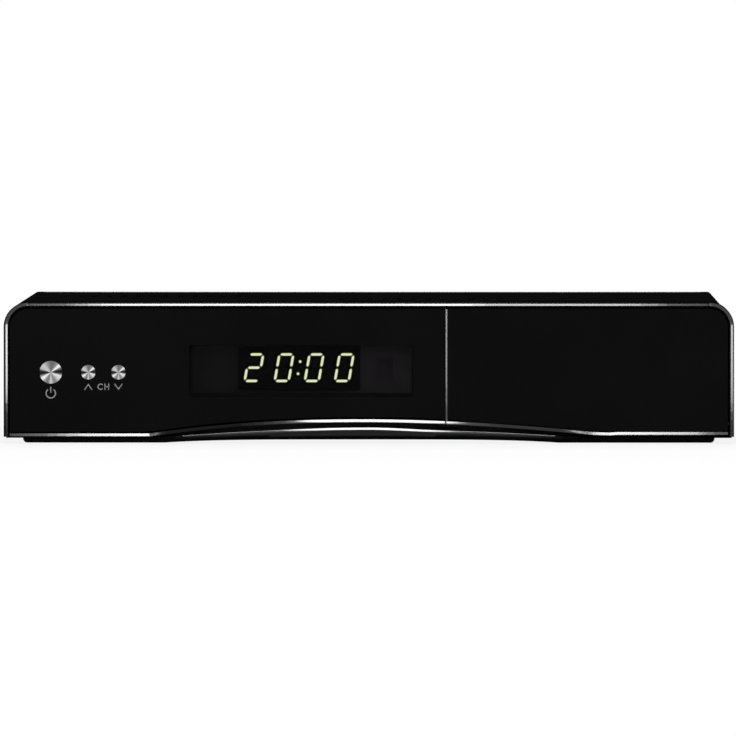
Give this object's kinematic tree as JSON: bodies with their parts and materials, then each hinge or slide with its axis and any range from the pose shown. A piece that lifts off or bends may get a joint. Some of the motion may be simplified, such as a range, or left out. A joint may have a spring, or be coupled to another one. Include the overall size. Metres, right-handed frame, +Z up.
{
  "type": "satellite television receiver",
  "caption": "Flat free-standing receiver box with a gloss front, clock display behind a smoked window, push caps and a flap door over a front bay.",
  "frame": {"origin": "on the table, under the middle of the whole box", "axes": "+X to the right as seen from the front, -Y out of the front, +Z up"},
  "size_m": [0.3, 0.222, 0.058],
  "materials": {
    "gloss_black": "piano-black moulded face, high gloss",
    "rim_black": "black moulding with a bright rounded rim",
    "lip_grey": "dark grey satin-gloss moulding",
    "smoked_lens": "smoked clear plastic, gloss",
    "inner_plastic": "fine-textured black plastic",
    "carrier_grey": "grey plastic",
    "spun_aluminium": "spun face with a fine turned grain",
    "segment_light": "lit segments",
    "sensor_purple": "dark tinted plastic",
    "zinc_steel": "zinc-plated sheet",
    "cover_paint": "matt black powder coat",
    "foot_rubber": "soft black rubber",
    "screw_steel": "bright zinc",
    "magnet_grey": "sintered magnet",
    "spacer_brass": "brass hexagon spacers",
    "board_green": "green solder mask",
    "chip_black": "moulded package",
    "capacitor_sleeve": "shrink sleeve",
    "black_anodised": "black anodised fins",
    "sink_aluminium": "plain aluminium plate",
    "tin_plate": "tinned sheet",
    "reader_steel": "stamped steel over black plastic",
    "socket_nickel": "nickel plate",
    "collar_plastic": "coloured plastic inserts",
    "transformer_tape": "taped ferrite and winding",
    "fuse_glass": "glass tube in clips",
    "rocker_red": "red rocker",
    "ribbon_white": "flat cable",
    "wire_sleeve": "brown insulated wire"
  },
  "bodies": {
    "cabinet": {"front_frame": "rim_black", "front_panel": "gloss_black", "display_window": "smoked_lens", "lower_lip": "lip_grey", "door_magnet": "magnet_grey", "bay_panel": "inner_plastic", "button_switches": "carrier_grey", "front_board": "board_green", "front_board_screws": "screw_steel", "display_module": "inner_plastic", "display_segments": "segment_light", "display_carrier": "carrier_grey", "infrared_receiver": "sensor_purple", "ribbon_cables": "ribbon_white", "bottom_pan": "zinc_steel", "rear_panel": "zinc_steel", "top_cover": "cover_paint", "feet": "foot_rubber", "cover_screws": "screw_steel", "chassis_screws": "screw_steel", "board_spacers": "spacer_brass", "board_screws": "screw_steel", "main_board": "board_green", "board_chips": "chip_black", "processor_heat_sink": "black_anodised", "board_capacitors": "capacitor_sleeve", "tuner_can": "tin_plate", "satellite_input": "socket_nickel", "satellite_loop_output": "socket_nickel", "scart_sockets": "inner_plastic", "phono_block": "inner_plastic", "phono_sleeves": "socket_nickel", "phono_collars": "collar_plastic", "hdmi_socket": "tin_plate", "serial_socket": "tin_plate", "ethernet_socket": "tin_plate", "usb_socket": "tin_plate", "card_reader": "reader_steel", "power_board": "board_green", "power_transformer": "transformer_tape", "power_capacitors": "capacitor_sleeve", "power_heat_sinks": "sink_aluminium", "fuse": "fuse_glass", "mains_inlet": "inner_plastic", "mains_switch": "inner_plastic", "mains_wires": "wire_sleeve"},
    "door": {"door": "gloss_black", "door_pins": "screw_steel", "door_strike": "screw_steel"},
    "power_button": {"power_cap": "spun_aluminium", "power_plunger": "inner_plastic", "power_switch_pin": "inner_plastic"},
    "channel_up_button": {"channel_up_cap": "spun_aluminium", "channel_up_plunger": "inner_plastic", "channel_up_switch_pin": "inner_plastic"},
    "channel_down_button": {"channel_down_cap": "spun_aluminium", "channel_down_plunger": "inner_plastic", "channel_down_switch_pin": "inner_plastic"},
    "rocker": {"mains_rocker": "rocker_red"}
  },
  "joints": [
    {"name": "door_hinge", "type": "hinge", "parent": "cabinet", "child": "door", "pos_m": [0.08965, -0.1088, 0.00802], "axis": [1, 0, 0], "range_deg": [0, 90]},
    {"name": "power_press", "type": "slide", "parent": "cabinet", "child": "power_button", "axis": [0, 1, 0], "range_m": [0, 0.0008], "stiffness_N_per_m": 1500},
    {"name": "channel_up_press", "type": "slide", "parent": "cabinet", "child": "channel_up_button", "axis": [0, 1, 0], "range_m": [0, 0.0008], "stiffness_N_per_m": 1500},
    {"name": "channel_down_press", "type": "slide", "parent": "cabinet", "child": "channel_down_button", "axis": [0, 1, 0], "range_m": [0, 0.0008], "stiffness_N_per_m": 1500},
    {"name": "rocker_hinge", "type": "hinge", "parent": "cabinet", "child": "rocker", "pos_m": [-0.096, 0.1004, 0.026], "axis": [-1, 0, 0], "range_deg": [0, 14]}
  ]
}
